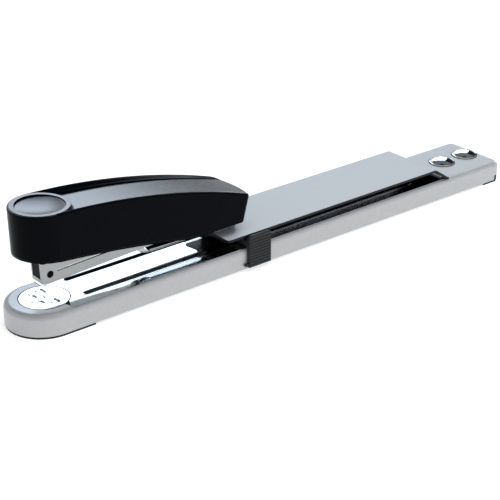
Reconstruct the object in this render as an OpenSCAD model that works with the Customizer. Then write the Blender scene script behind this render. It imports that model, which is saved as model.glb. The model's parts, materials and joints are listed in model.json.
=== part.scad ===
// Long-arm stapler for 24/6 staples. Millimetres, +X from nose to tail, +Z up.
// Modules work from the tip of the nose, on the table; at_nose() puts the origin under the middle.

/* [Base] */
// Length from the nose to the tail
total_length = 386; // [380:1:420]
// Width of the base and of the arm plate
base_width = 46; // [45:1:48]
// Height of the top of the base above the table
base_top = 15.1; // [14.6:0.1:15.4]
// Thickness of the base sheet
base_sheet = 1.5; // [1.2:0.1:1.8]
// Radius of the rounded top edge
edge_radius = 3.5; // [2.5:0.5:4]
// Height of the rubber feet under the base
foot_height = 1.5; // [1:0.1:2]

/* [Bed plate] */
// Thickness of the polished bed plate
bed_sheet = 0.6; // [0.4:0.1:0.8]
// Depth of the two pressed troughs
trough_depth = 1.2; // [0.6:0.1:1.5]
// Distance of each trough from the centre line
trough_offset = 11; // [10:0.5:12]

/* [Anvil] */
// Distance of the anvil's centre from the nose
anvil_x = 23.8; // [23:0.1:25]
// Radius of the anvil disc
anvil_radius = 15.2; // [14:0.1:15.4]

/* [Arm plate] */
// Distance of the plate's front edge from the nose
arm_front = 141.4; // [138:0.1:142]
// Height of the plate's top above the table
arm_top = 24.6; // [24:0.1:25]
// Thickness of the arm plate
arm_sheet = 1.6; // [1.2:0.1:1.8]
// Distance of the start of the ramp from the nose
ramp_start = 321.5; // [318:0.5:324]
// Radius of the domed tail rivets
rivet_radius = 9; // [7:0.5:9.5]

/* [Magazine] */
// Outer width of the magazine
magazine_width = 14.6; // [14.4:0.1:14.8]
// Height of the magazine's walls
magazine_height = 13; // [12.8:0.1:13.2]
// Slope of the magazine, nose down
magazine_tilt = 2.55; // [2.4:0.05:2.7]

/* [Cover] */
// Outer width of the cover
cover_width = 37.2; // [37:0.1:38]
// Wall thickness of the cover
cover_wall = 2.2; // [1.8:0.1:2.4]
// Radius of the thumb dish
dish_radius = 14.5; // [13:0.5:14.5]

/* [Paper stop] */
// Distance of the front of the stop from the nose
stop_x = 156; // [156:1:160]
// Length of the stop along the base
stop_length = 17.3; // [14:0.1:18]

/* [Hidden] */
$fn = 64;

half_base = base_width / 2;
nose_x = half_base;
inner_half = half_base - base_sheet;
inner_top = base_top - base_sheet;
inner_corner = edge_radius - base_sheet;
wide = 200;
foot_end = 44;
foot_plug_end = 42;
foot_plug_top = 5;
rear_foot_x = [372, total_length - 1.9];
rear_plug_x = [374, total_length - base_sheet - 0.2];
lug_x = [382, 384];

// the bed plate lies in a shallow seat in the base's top
bed_x = [30, 332.4];
bed_half = half_base - 1.6;
bed_floor = base_top - bed_sheet;
window_x = [41.6, 326];
window_half = 17;
trough_x = [45, 308];
trough_half = 2.5;

// the arm plate's tail lies in a seat, one sheet lower than the arm
tail_seat = 14.1;
tail_x = [334, total_length - 2.4];
tail_half = half_base - 1.3;
tail_top = tail_seat + arm_sheet;
arm_corner = 2;
ramp_run = 13.5;
ramp_angle = atan((arm_top - tail_top) / ramp_run);
ramp_shift = arm_sheet * tan(ramp_angle / 2);
rivet_x = [351.5, 374.2];
rivet_shank = 4;
rivet_rise = 3.6;
rivet_tail_radius = 7;
rivet_tail = 1.2;
dome_radius = (rivet_radius * rivet_radius + rivet_rise * rivet_rise) / (2 * rivet_rise);
stiffener_sheet = 2;
stiffener_x = [340, total_length - 4];
seat_sheet = tail_seat - base_sheet;

// the anvil turns on a stem in a seat welded under the base's top
anvil_gap = 0.2;
anvil_seat_radius = 18.5;
anvil_seat_sheet = 1.5;
seat_top = inner_top;
stem_radius = 3;
stem_bottom = 8;
clip_bottom = 8.8;
clip_height = 0.8;
clip_groove = 0.6;
clip_radius = 5.5;
washer_radius = 5.8;
// forming grooves: distance behind the stem, distance from the centre line, half length
grooves = [[-3.8, 4.3, 2.4], [3.8, 7.6, 3.2]];
groove_radius = 1.2;

// magazine frame: u runs along the magazine, y across, w up from its floor
mag_x = 20;
mag_z = 26.7;
mag_wall = 0.8;
mag_half = magazine_width / 2;
mag_inner = mag_half - mag_wall;
mag_length = 136;
mag_round = 2.6;
slot_u = [10.1, 112];
slot_w = [5.9, 7.1];
peg_u = 4.9;
peg_w = 5.7;
peg_radius = 2.2;
pivot_u = 132;
pivot_w = 4.5;
pivot_x = mag_x + pivot_u * cos(magazine_tilt) - pivot_w * sin(magazine_tilt);
pivot_z = mag_z + pivot_u * sin(magazine_tilt) + pivot_w * cos(magazine_tilt);
pin_radius = 2;
pin_bore = 2.06;
pin_half = 15.2;
pin_clip_y = 10.75;
pin_clip_radius = 3.6;
pin_clip_sheet = 0.6;
ear_inner = 9;
ear_sheet = 1.2;
bracket_sheet = 1.2;
ear_width = 8.8;
ear_radius = 5;
bracket_head_radius = 3.4;
bracket_head = 0.8;
leaf_sheet = 0.5;
leaf_half = 5;
bracket_z = arm_top + leaf_sheet;
bracket_x = [142.2, 157];
bracket_rivet_x = [145.8, 152.8];
rail_half = 5.4;
rail_top = 7.9;
rail_u = [5.4, 112];
rail_sheet = 0.8;
staple_half = 6.45;
staple_bottom = 2.2;
staple_top = 8.8;
staple_wire = 0.6;
staple_u = [4.3, 56.3];
pusher_u = [56.5, 66.5];
rod_radius = 1.2;
rod_w = 11;
rod_start = 5.2;
seat_u = [108, 112];
coil_gap = 0.6;
coil_turns = 12;
coil_radius = 1.65;
coil_wire = 0.28;

// the cover's top and lower edge are parts of large circles: [centre x, centre z, radius]
cover_half = cover_width / 2;
cover_nose_x = 25;
top_circle = [13.7, -376.3, 450.1];
strip_circle = [13.9, -435.7, 506.2];
lower_circle = [-41.9, -779.3, 826.3];
boss_radius = 4.6;
boss_y = [12.1, cover_half - 0.5];
post_radius = 3.4;
ring_radius = 17.8;
dish_rim = 13.8;
lower_flat_x = 118;
lower_flat_z = 31.5;
rear_low_x = 161;
rear_top_x = 166;
rear_bulge = 5;
inlay_half = 13;
inlay_sheet = 1;
roof_sheet = 2.2;
pad_floor = 69.8;
pad_top = 73.3;
dish_depth = 2.2;
frame_half = 8.75;
frame_sheet = 1;
frame_roof_u = [3.9, 90];
frame_roof_w = [36, 20];
frame_slope = atan((frame_roof_w[0] - frame_roof_w[1]) / (frame_roof_u[1] - frame_roof_u[0]));
front_cut = 1.45;
front_cut_top = 25.2;
blade_u = 3.4;
blade_w = [11.2, 35];
blade_half = 6.2;
blade_sheet = 0.5;
blade_rivet = 1.2;
blade_rivet_w = [27.5, 32];
rivet_head = 0.7;
screw_u = [36, 74];
screw_radius = 1.3;
screw_head_radius = 2.7;
screw_head = 1.5;
torsion_radius = 3;
torsion_wire = 0.4;
torsion_leg_y = 3.9;
torsion_legs = [16, 21];
torsion_rise = 19.5;

stop_inner = half_base + 0.25;
stop_outer = 25.8;
grip_bottom = 2.6;
grip_top = 24;
stop_bar = [base_top + 0.3, 20];
rib_count = 9;
rib_pitch = 1.9;
rib_depth = 0.5;
grip_corner = 1.5;
rib_gap = 0.9;
nub = [2.4, 1.6, 2];
nub_bottom = 3.6;
stop_leaf_radius = 13.8;
stop_leaf_sheet = 0.4;
stop_leaf_z = 8.9;

module at_nose() translate([-total_length / 2, 0, 0]) children();

// a shape drawn in Y and Z, carried along X
module along_x(from, to) translate([from, 0, 0])
    rotate([90, 0, 90]) linear_extrude(height = to - from) children();

// a shape drawn in X and Z, carried across Y on both sides of the centre
module across_y(width)
    translate([0, width / 2, 0]) rotate([90, 0, 0]) linear_extrude(height = width) children();

module block(x, half, z) translate([x[0], -half, z[0]]) cube([x[1] - x[0], 2 * half, z[1] - z[0]]);

module in_magazine() at_nose() translate([mag_x, 0, mag_z]) rotate([0, -magazine_tilt, 0]) children();

module ring(outer, inner, height) difference() {
    cylinder(r = outer, h = height);
    translate([0, 0, -1]) cylinder(r = inner, h = height + 2);
}

// a round bar across the object at a place in X and Z
module cross_pin(x, z, radius, half)
    translate([x, half, z]) rotate([90, 0, 0]) cylinder(r = radius, h = 2 * half);

// half of the base's section, from the centre line outwards, with a rounded top edge
module half_section(half, bottom, top, corner) {
    translate([0, bottom]) square([half, top - corner - bottom]);
    translate([0, bottom]) square([half - corner, top - bottom]);
    translate([half - corner, top - corner]) circle(corner);
}

// a long body with that section and a round nose
module long_body(half, bottom, top, corner, end_x) {
    translate([nose_x, 0, 0]) rotate_extrude() intersection() {
        half_section(half, bottom, top, corner);
        square([half, top]);
    }
    along_x(nose_x, end_x) for (side = [0, 1]) mirror([side, 0]) half_section(half, bottom, top, corner);
}

// the small index notch at the anvil's rim
module index_notch() translate([0, 0, seat_top]) linear_extrude(height = 4)
    polygon([[28.6, -14.9], [33.2, -12.2], [30.8, -17.2]]);

module base_channel() color("silver") at_nose() difference() {
    long_body(half_base, foot_height, base_top, edge_radius, total_length);
    long_body(inner_half, foot_height - 1, inner_top, inner_corner, tail_x[0]);
    long_body(inner_half, foot_height - 1, seat_sheet, inner_corner, total_length - base_sheet);
    block([bed_x[0], tail_x[0]], bed_half, [bed_floor, base_top + 1]);
    block(window_x, window_half, [inner_top - 1, base_top]);
    block([tail_x[0], tail_x[1] + 0.2], tail_half + 0.1, [tail_seat, base_top + 1]);
    translate([anvil_x, 0, inner_top - 1]) cylinder(r = anvil_radius + anvil_gap, h = 4);
    for (x = rivet_x) translate([x, 0, seat_sheet - 1]) cylinder(r = rivet_shank, h = 4);
    index_notch();
    // notches for the rear foot's lugs
    block(lug_x, half_base + 1, [foot_height - 1, foot_plug_top]);
}

module trough(half, depth_from, depth_to)
    translate([0, 0, depth_from]) linear_extrude(height = depth_to - depth_from)
    for (side = [-1, 1]) translate([0, side * trough_offset]) {
        for (x = trough_x) translate([x, 0]) circle(half);
        translate([trough_x[0], -half]) square([trough_x[1] - trough_x[0], 2 * half]);
    }

module bed_plate() color("white") at_nose() difference() {
    union() {
        block(bed_x, bed_half - 0.1, [bed_floor, base_top]);
        trough(trough_half + bed_sheet, bed_floor - trough_depth, bed_floor);
    }
    trough(trough_half, base_top - trough_depth, base_top + 1);
    translate([anvil_x, 0, bed_floor - 1]) cylinder(r = anvil_radius + anvil_gap, h = 4);
    index_notch();
}

module front_foot() color("dimgray") at_nose() {
    intersection() {
        long_body(half_base - 0.4, 0, 9, 0.5, foot_end);
        block([0, foot_end], half_base, [0, foot_height]);
    }
    intersection() {
        long_body(inner_half - 0.2, foot_height, 9, 0.5, foot_plug_end);
        block([0, foot_plug_end], half_base, [foot_height, foot_plug_top]);
    }
}

module rear_foot() color("dimgray") at_nose() {
    block(rear_foot_x, half_base - 0.4, [0, foot_height]);
    block(rear_plug_x, inner_half - 0.2, [foot_height, foot_plug_top]);
    block([lug_x[0] + 0.1, lug_x[1] - 0.1], half_base, [foot_height, foot_plug_top - 0.1]);
}

module anvil_seat() color("gray") at_nose() translate([anvil_x, 0, seat_top - anvil_seat_sheet])
    ring(anvil_seat_radius, stem_radius + 0.06, anvil_seat_sheet);

module arm_plate() color("lightsteelblue") at_nose() difference() {
    intersection() {
        across_y(base_width) polygon([
            [arm_front, arm_top], [ramp_start, arm_top], [ramp_start + ramp_run, tail_top],
            [tail_x[1], tail_top], [tail_x[1], tail_seat], [ramp_start + ramp_run - ramp_shift, tail_seat],
            [ramp_start - ramp_shift, arm_top - arm_sheet], [arm_front, arm_top - arm_sheet]]);
        linear_extrude(height = 30) {
            for (side = [-1, 1])
                translate([arm_front + arm_corner, side * (half_base - arm_corner)]) circle(arm_corner);
            translate([arm_front, -half_base + arm_corner]) square([wide, base_width - 2 * arm_corner]);
            translate([arm_front + arm_corner, -half_base])
                square([ramp_start + ramp_run - arm_front - arm_corner, base_width]);
            translate([arm_front + wide - 50, -tail_half]) square([100, 2 * tail_half]);
        }
    }
    for (x = rivet_x) translate([x, 0, 10]) cylinder(r = rivet_shank, h = 10);
    for (x = bracket_rivet_x) translate([x, 0, 20]) cylinder(r = pin_radius, h = 10);
}

module tail_stiffener() color("gray") at_nose() difference() {
    block(stiffener_x, window_half, [seat_sheet - stiffener_sheet, seat_sheet]);
    for (x = rivet_x) translate([x, 0, 5]) cylinder(r = rivet_shank, h = 10);
}

module tail_rivets() color("white") at_nose() for (x = rivet_x) translate([x, 0, 0]) {
    translate([0, 0, seat_sheet - stiffener_sheet])
        cylinder(r = rivet_shank, h = tail_top - seat_sheet + stiffener_sheet);
    translate([0, 0, seat_sheet - stiffener_sheet - rivet_tail])
        cylinder(r = rivet_tail_radius, h = rivet_tail);
    intersection() {
        translate([0, 0, tail_top + rivet_rise - dome_radius]) sphere(dome_radius);
        translate([0, 0, tail_top]) cylinder(r = rivet_radius, h = 10);
    }
}

// a U of bent sheet, cut to the shape of its ears seen from the side
module hinge_bracket() color("gray") at_nose() difference() {
    intersection() {
        along_x(bracket_x[0], bracket_x[1]) difference() {
            translate([-ear_inner - ear_sheet, bracket_z]) square([2 * (ear_inner + ear_sheet), 30]);
            translate([-ear_inner, bracket_z + bracket_sheet]) square([2 * ear_inner, 30]);
        }
        across_y(60) {
            translate([bracket_x[0] - 1, bracket_z - 1]) square([bracket_x[1] - bracket_x[0] + 2, 6]);
            translate([pivot_x - ear_width / 2, bracket_z]) square([ear_width, pivot_z - bracket_z]);
            translate([pivot_x, pivot_z]) circle(ear_radius);
        }
    }
    cross_pin(pivot_x, pivot_z, pin_radius, 20);
    for (x = bracket_rivet_x) translate([x, 0, 20]) cylinder(r = pin_radius, h = 10);
}

module bracket_rivets() color("white") at_nose() for (x = bracket_rivet_x) translate([x, 0, 0]) {
    translate([0, 0, arm_top - arm_sheet])
        cylinder(r = pin_radius, h = arm_sheet + leaf_sheet + bracket_sheet);
    translate([0, 0, bracket_z + bracket_sheet]) cylinder(r = bracket_head_radius, h = bracket_head);
}

module hinge_pin() color("white") at_nose() cross_pin(pivot_x, pivot_z, pin_radius, pin_half);

module pin_clips() color("dimgray") at_nose() for (side = [-1, 1])
    translate([pivot_x, side * pin_clip_y + pin_clip_sheet / 2, pivot_z]) rotate([90, 0, 0])
        ring(pin_clip_radius, pin_radius, pin_clip_sheet);

// flat root under the bracket, then a long leaf whose tip curls up under the magazine
module lift_spring() color("white") at_nose() difference() {
    across_y(2 * leaf_half) polygon([
        [156.5, arm_top], [156.5, bracket_z], [140, bracket_z], [96, bracket_z + 0.2],
        [89, arm_top + 2], [85.6, arm_top + 4.6], [84.2, arm_top + 4.6], [84.9, arm_top + 3.6],
        [88.6, arm_top + 1.2], [96, arm_top - 0.3], [135, arm_top]]);
    for (x = bracket_rivet_x) translate([x, 0, 20]) cylinder(r = pin_radius, h = 10);
}

module anvil_disc() color("white") at_nose() translate([anvil_x, 0, 0]) difference() {
    translate([0, 0, seat_top + 0.1]) cylinder(r = anvil_radius, h = base_top - seat_top - 0.1);
    // forming grooves for closed legs, in front of the stem, and for open legs behind it
    for (side = [-1, 1], groove = grooves)
        translate([groove[0], side * groove[1], base_top]) forming_groove(groove[2]);
}

// a shallow round-bottomed groove across the disc, half as deep as it is wide
module forming_groove(length) intersection() {
    translate([0, length, 0.7]) rotate([90, 0, 0]) cylinder(r = groove_radius, h = 2 * length);
    cube([3, 2 * length, 1.2], center = true);
}

module anvil_stem() color("gray") at_nose() translate([anvil_x, 0, stem_bottom]) difference() {
    cylinder(r = stem_radius, h = seat_top + 0.1 - stem_bottom);
    translate([0, 0, clip_bottom - stem_bottom])
        ring(stem_radius + 1, stem_radius - clip_groove, clip_height);
}

module anvil_spring() color("silver") at_nose() translate([anvil_x, 0, clip_bottom + clip_height])
    ring(washer_radius, stem_radius + 0.2, seat_top - anvil_seat_sheet - 0.1 - clip_bottom - clip_height);

module anvil_clip() color("dimgray") at_nose() translate([anvil_x, 0, clip_bottom])
    ring(clip_radius, stem_radius - clip_groove, clip_height);

// a grip of the paper stop seen from the side, with rounded top corners
module grip_outline() {
    translate([stop_x, grip_bottom]) square([stop_length, grip_top - grip_bottom - grip_corner]);
    translate([stop_x + grip_corner, grip_bottom])
        square([stop_length - 2 * grip_corner, grip_top - grip_bottom]);
    for (x = [grip_corner, stop_length - grip_corner])
        translate([stop_x + x, grip_top - grip_corner]) circle(grip_corner);
}

module rib_grooves() for (i = [1:rib_count])
    translate([stop_x - 1, -1, grip_bottom + i * rib_pitch - rib_gap / 2])
        cube([stop_length + 2, 2, rib_gap]);

module stop_saddle() color("black") at_nose() {
    block([stop_x, stop_x + stop_length], stop_inner, stop_bar);
    for (side = [0, 1]) mirror([0, side, 0]) {
        // plain inner wall, and the ribbed outside over it
        wall = stop_outer - rib_depth - stop_inner;
        translate([0, stop_inner + wall / 2, 0]) across_y(wall) grip_outline();
        translate([0, stop_outer - rib_depth / 2, 0]) difference() {
            across_y(rib_depth) grip_outline();
            rib_grooves();
        }
        // small nub that leads the stop along the wall
        translate([stop_x - nub[0], half_base + 0.3, nub_bottom]) cube(nub);
    }
}

// an arched leaf on the crossbar that rubs under the arm plate
module stop_spring() color("silver") at_nose() intersection() {
    difference() {
        cross_pin(stop_x + stop_length / 2, stop_leaf_z, stop_leaf_radius, 4);
        cross_pin(stop_x + stop_length / 2, stop_leaf_z, stop_leaf_radius - stop_leaf_sheet, 5);
    }
    block([stop_x + 0.5, stop_x + stop_length - 0.5], 4, [stop_bar[1], 24]);
}

module magazine_outline(wall) {
    translate([mag_round, -mag_half + wall])
        square([mag_length - mag_round + wall, 2 * (mag_half - wall)]);
    translate([wall, -mag_half + mag_round]) square([mag_round, 2 * (mag_half - mag_round)]);
    for (side = [-1, 1]) translate([mag_round, side * (mag_half - mag_round)]) circle(mag_round - wall);
}

module magazine_channel() color("gray") in_magazine() difference() {
    intersection() {
        linear_extrude(height = magazine_height) magazine_outline(0);
        across_y(20) polygon([
            [0, 0], [0, magazine_height], [116, magazine_height], [mag_length, 9.5], [mag_length, 0]]);
    }
    translate([0, 0, mag_wall]) linear_extrude(height = magazine_height) magazine_outline(mag_wall);
    block([mag_wall, 5.2], mag_inner, [-1, 3]);
    block([-1, mag_wall + 0.1], 4.2, [2.6, 20]);
    cross_pin(peg_u, peg_w, peg_radius, 20);
    for (side = [-1, 1]) translate([0, side * mag_half, 0]) {
        block(slot_u, 2, slot_w);
        for (u = slot_u) cross_pin(u, (slot_w[0] + slot_w[1]) / 2, (slot_w[1] - slot_w[0]) / 2, 2);
    }
    cross_pin(pivot_u, pivot_w, pin_bore, 20);
}

module nose_guide() color("black") in_magazine() {
    block([mag_wall + 0.05, 1.75], 4.6, [1.6, 12.8]);
    block([0.35, mag_wall + 0.05], 4.1, [2.7, 12.8]);
    // the ends of its fixing pegs, flush in the round holes of the magazine's walls
    for (side = [-1, 1]) translate([0, side * (mag_inner + mag_wall / 2 + 0.02), 0])
        cross_pin(peg_u, peg_w, peg_radius - 0.05, mag_wall / 2 - 0.05);
}

module staple_rail() color("gray") in_magazine() difference() {
    block(rail_u, rail_half, [mag_wall, rail_top]);
    block([rail_u[0] - 1, rail_u[1] + 1], rail_half - rail_sheet, [mag_wall - 1, rail_top - rail_sheet]);
}

module staple_strip() color("silver") in_magazine() difference() {
    block(staple_u, staple_half, [staple_bottom, staple_top]);
    block([staple_u[0] - 1, staple_u[1] + 1], staple_half - staple_wire,
        [staple_bottom - 1, staple_top - staple_wire]);
}

module guide_rod() color("silver") in_magazine() translate([rod_start, 0, rod_w]) rotate([0, 90, 0])
    cylinder(r = rod_radius, h = seat_u[1] - rod_start);

module rod_seat() color("gray") in_magazine() difference() {
    block(seat_u, mag_inner - 0.1, [rail_top, 12.8]);
    translate([seat_u[0] - 1, 0, rod_w]) rotate([0, 90, 0]) cylinder(r = rod_radius, h = 10);
}

// points of one ring of the spring's wire, at a given angle along the coil
function coil_ring(angle, radius, pitch, wire, sides) = [for (i = [0:sides - 1])
    let(a = 360 * i / sides, r = radius + wire * cos(a))
    [pitch * angle / 360 + wire * sin(a), r * cos(angle), r * sin(angle)]];

module coil(length, turns, radius, wire, sides, steps) {
    count = turns * steps;
    rings = [for (k = [0:count]) each coil_ring(360 * k / steps, radius, length / turns, wire, sides)];
    walls = [for (k = [0:count - 1], i = [0:sides - 1])
        let(a = k * sides, b = a + sides, j = (i + 1) % sides)
        each [[a + i, b + i, b + j], [a + i, b + j, a + j]]];
    start = [for (i = [0:sides - 1]) i];
    finish = [for (i = [sides - 1:-1:0]) count * sides + i];
    polyhedron(points = rings, faces = concat(walls, [start, finish]));
}

module pusher_spring() color("silver") in_magazine()
    translate([pusher_u[1] + coil_gap, 0, rod_w])
        coil(seat_u[0] - pusher_u[1] - 2 * coil_gap, coil_turns, coil_radius, coil_wire, 6, 12);

module pusher() color("gray") in_magazine() difference() {
    block(pusher_u, mag_inner - 0.2, [2.4, 12.6]);
    block([pusher_u[0] - 1, pusher_u[1] + 1], rail_half + 0.2, [2, rail_top + 0.2]);
    translate([pusher_u[0] - 1, 0, rod_w]) rotate([0, 90, 0]) cylinder(r = rod_radius + 0.1, h = 20);
}

function on_circle(circle, x) = circle[1] + sqrt(pow(circle[2], 2) - pow(x - circle[0], 2));

// the cover seen from the side, between its lower edge and a top circle lowered by drop
module cover_side(top, drop, low, rear) polygon(concat(
    [for (x = [0:5.9:lower_flat_x]) [x, on_circle(lower_circle, x) - low]],
    [[lower_flat_x + 2, lower_flat_z - low], [rear_low_x - rear, lower_flat_z - low]],
    [for (x = [rear_top_x - rear:-(rear_top_x - rear) / 24:0]) [x, on_circle(top, x) - drop]]));

// the cover seen from above, with a round nose and a bulged rear with rounded corners
module cover_plan(inset) {
    half = cover_half - inset;
    bulge_radius = (cover_half * cover_half + rear_bulge * rear_bulge) / (2 * rear_bulge);
    translate([cover_nose_x, 0]) circle(half);
    intersection() {
        translate([cover_nose_x, -half]) square([wide, 2 * half]);
        translate([rear_top_x - bulge_radius, 0]) circle(bulge_radius - inset, $fn = 128);
        translate([cover_nose_x - 20, -cover_half]) square([wide, cover_width]);
    }
    translate([cover_nose_x, -half]) square([100, 2 * half]);
}

module cover_body() intersection() {
    across_y(60) cover_side(top_circle, 0, 0, 0);
    linear_extrude(height = 100) cover_plan(0);
}

module cover_hollow() intersection() {
    across_y(60) cover_side(strip_circle, roof_sheet + inlay_sheet, 10, cover_wall);
    linear_extrude(height = 100) cover_plan(cover_wall);
}

// everything above the recessed strip's surface, lowered by drop, behind the thumb dish
module strip_space(half, drop) intersection() {
    across_y(2 * half) polygon(concat([[20, 100]],
        [for (x = [20:5:170]) [x, on_circle(strip_circle, x) - drop]], [[170, 100]]));
    difference() {
        linear_extrude(height = 100) cover_plan(0.4);
        translate([cover_nose_x, 0, 0]) cylinder(r = ring_radius, h = 100);
        translate([0, -50, 0]) cube([cover_nose_x, 100, 100]);
    }
}

module cover_shell() color("black") at_nose() difference() {
    union() {
        difference() {
            cover_body();
            cover_hollow();
            strip_space(inlay_half, inlay_sheet);
            translate([cover_nose_x, 0, pad_floor]) cylinder(r = dish_radius + 0.1, h = 10);
            // room for the bracket behind the hinge
            block([150, 170], 11, [30, pivot_z]);
        }
        // bosses for the ends of the hinge pin
        for (side = [-1, 1]) translate([0, side * (boss_y[0] + boss_y[1]) / 2, 0])
            cross_pin(pivot_x, pivot_z, boss_radius, (boss_y[1] - boss_y[0]) / 2);
        // posts for the frame's screws, cut off at the roof
        intersection() {
            union() for (u = screw_u) screw_place(u) translate([0, 0, 0.1]) cylinder(r = post_radius, h = 30);
            across_y(60) cover_side(strip_circle, inlay_sheet, 10, cover_wall);
        }
    }
    cross_pin(pivot_x, pivot_z, pin_bore, pin_half + 0.4);
    for (u = screw_u) screw_place(u) cylinder(r = screw_radius, h = 7);
}

module top_inlay() color("dimgray") at_nose() difference() {
    strip_space(inlay_half - 0.05, inlay_sheet);
    across_y(60) polygon(concat([[0, 100]],
        [for (x = [0:5:180]) [x, on_circle(strip_circle, x)]], [[180, 100]]));
}

module thumb_pad() color("dimgray") at_nose() translate([cover_nose_x, 0, 0]) difference() {
    ball = (dish_rim * dish_rim + dish_depth * dish_depth) / (2 * dish_depth);
    translate([0, 0, pad_floor]) cylinder(r = dish_radius, h = pad_top - pad_floor);
    translate([0, 0, pad_top - dish_depth + ball]) sphere(ball);
}

// steel frame inside the cover: front wall, roof and two cheeks that reach back to the pin
module frame_side(shrink) polygon([
    [frame_roof_u[0] + shrink, frame_roof_w[0] - 1.3 * shrink], [frame_roof_u[1], frame_roof_w[1] - shrink],
    [128, 14 - shrink], [138 - shrink, 9 - shrink], [138 - shrink, -5 * shrink], [126, -5 * shrink],
    [100, 3 - 5 * shrink], [78, 7.5 - 5 * shrink], [frame_roof_u[0] + shrink, 19.5 - 5 * shrink]]);

// a place on top of the frame's roof, with its z axis square to the roof
module screw_place(u) translate([mag_x, 0, mag_z]) rotate([0, -magazine_tilt, 0])
    translate([u, 0, frame_roof_w[0] - (u - frame_roof_u[0]) * tan(frame_slope)])
        rotate([0, frame_slope, 0]) children();

module cover_frame() color("gray") at_nose() difference() {
    translate([mag_x, 0, mag_z]) rotate([0, -magazine_tilt, 0]) difference() {
        across_y(2 * frame_half) frame_side(0);
        across_y(2 * (frame_half - frame_sheet)) frame_side(frame_sheet);
        block([130, 150], frame_half - frame_sheet, [-10, 30]);
        cross_pin(pivot_u, pivot_w, pin_bore, 20);
        for (w = blade_rivet_w) translate([0, 0, w]) rotate([0, 90, 0]) cylinder(r = blade_rivet, h = 10);
        // the front wall narrows below, to pass between the magazine's walls
        for (side = [-1, 1]) translate([-1, side * (blade_half + 0.1 + front_cut / 2) - front_cut / 2, -1])
            cube([frame_roof_u[0] + frame_sheet + 1.1, front_cut, front_cut_top + 1]);
    }
    for (u = screw_u) screw_place(u) translate([0, 0, -5]) cylinder(r = screw_radius, h = 10);
}

module frame_screws() color("white") at_nose() for (u = screw_u) screw_place(u) {
    translate([0, 0, -1.1]) cylinder(r = screw_radius, h = 8);
    translate([0, 0, -1.1 - screw_head]) cylinder(r = screw_head_radius, h = screw_head);
}

module driver_blade() color("silver") in_magazine() difference() {
    block([blade_u, blade_u + blade_sheet], blade_half, blade_w);
    for (w = blade_rivet_w) translate([0, 0, w]) rotate([0, 90, 0]) cylinder(r = blade_rivet, h = 10);
}

module blade_rivets() color("white") in_magazine()
    for (w = blade_rivet_w) translate([0, 0, w]) rotate([0, 90, 0]) {
    translate([0, 0, blade_u]) cylinder(r = blade_rivet, h = blade_sheet + frame_sheet);
    for (u = [blade_u - rivet_head, blade_u + blade_sheet + frame_sheet])
        translate([0, 0, u]) cylinder(r = blade_rivet + 1, h = rivet_head);
}

// turns of a torsion spring round the hinge pin, with one leg on the magazine's floor
// and one under the frame's roof
module cover_spring() color("silver") in_magazine() translate([pivot_u, 0, pivot_w]) {
    for (i = [-3:3]) translate([0, i, 0]) rotate([90, 0, 0])
        rotate_extrude() translate([torsion_radius, 0]) circle(torsion_wire);
    translate([0, torsion_leg_y, -torsion_radius]) rotate([0, -90, 0])
        cylinder(r = torsion_wire, h = torsion_legs[0]);
    translate([0, -torsion_leg_y, torsion_radius]) rotate([0, torsion_rise - 90, 0])
        cylinder(r = torsion_wire, h = torsion_legs[1]);
}

base_channel();
bed_plate();
front_foot();
rear_foot();
anvil_seat();
arm_plate();
tail_stiffener();
tail_rivets();
hinge_bracket();
bracket_rivets();
hinge_pin();
pin_clips();
lift_spring();
anvil_disc();
anvil_stem();
anvil_spring();
anvil_clip();
stop_saddle();
stop_spring();
magazine_channel();
nose_guide();
staple_rail();
staple_strip();
guide_rod();
rod_seat();
pusher_spring();
pusher();
cover_shell();
top_inlay();
thumb_pad();
cover_frame();
frame_screws();
driver_blade();
blade_rivets();
cover_spring();
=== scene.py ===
import json
import math

import bmesh
import bpy
import numpy as np
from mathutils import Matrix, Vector

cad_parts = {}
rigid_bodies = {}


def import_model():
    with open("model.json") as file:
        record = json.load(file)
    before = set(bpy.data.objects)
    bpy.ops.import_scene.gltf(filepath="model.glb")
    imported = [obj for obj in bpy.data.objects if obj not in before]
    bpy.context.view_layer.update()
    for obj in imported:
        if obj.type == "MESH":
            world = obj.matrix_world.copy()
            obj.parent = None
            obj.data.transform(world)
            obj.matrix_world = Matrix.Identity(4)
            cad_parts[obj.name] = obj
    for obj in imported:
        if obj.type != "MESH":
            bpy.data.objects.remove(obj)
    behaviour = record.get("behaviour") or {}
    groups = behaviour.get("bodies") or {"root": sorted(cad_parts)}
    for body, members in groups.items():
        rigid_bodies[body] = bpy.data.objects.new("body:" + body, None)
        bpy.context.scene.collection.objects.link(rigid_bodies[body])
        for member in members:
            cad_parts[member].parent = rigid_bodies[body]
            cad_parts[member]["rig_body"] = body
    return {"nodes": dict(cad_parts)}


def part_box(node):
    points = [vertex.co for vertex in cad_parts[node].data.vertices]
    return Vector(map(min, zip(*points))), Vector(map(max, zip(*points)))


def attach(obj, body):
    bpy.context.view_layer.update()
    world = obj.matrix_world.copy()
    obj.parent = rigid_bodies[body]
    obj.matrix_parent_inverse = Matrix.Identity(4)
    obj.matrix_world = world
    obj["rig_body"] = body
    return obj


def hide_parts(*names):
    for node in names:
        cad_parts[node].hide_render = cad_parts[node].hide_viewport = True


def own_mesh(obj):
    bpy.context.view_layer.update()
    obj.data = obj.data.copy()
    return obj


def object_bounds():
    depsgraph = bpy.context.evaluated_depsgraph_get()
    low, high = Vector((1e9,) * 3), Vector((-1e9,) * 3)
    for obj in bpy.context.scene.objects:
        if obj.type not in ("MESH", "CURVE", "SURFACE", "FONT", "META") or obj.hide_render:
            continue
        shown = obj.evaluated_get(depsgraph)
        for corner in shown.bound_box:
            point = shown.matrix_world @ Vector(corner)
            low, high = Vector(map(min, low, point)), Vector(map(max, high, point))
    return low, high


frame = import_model()
cadLow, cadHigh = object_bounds()
noseTip = cadLow.x * 1000  # millimetres; every piece below is worked out from the tip of the nose
print("frame loaded")


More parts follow.
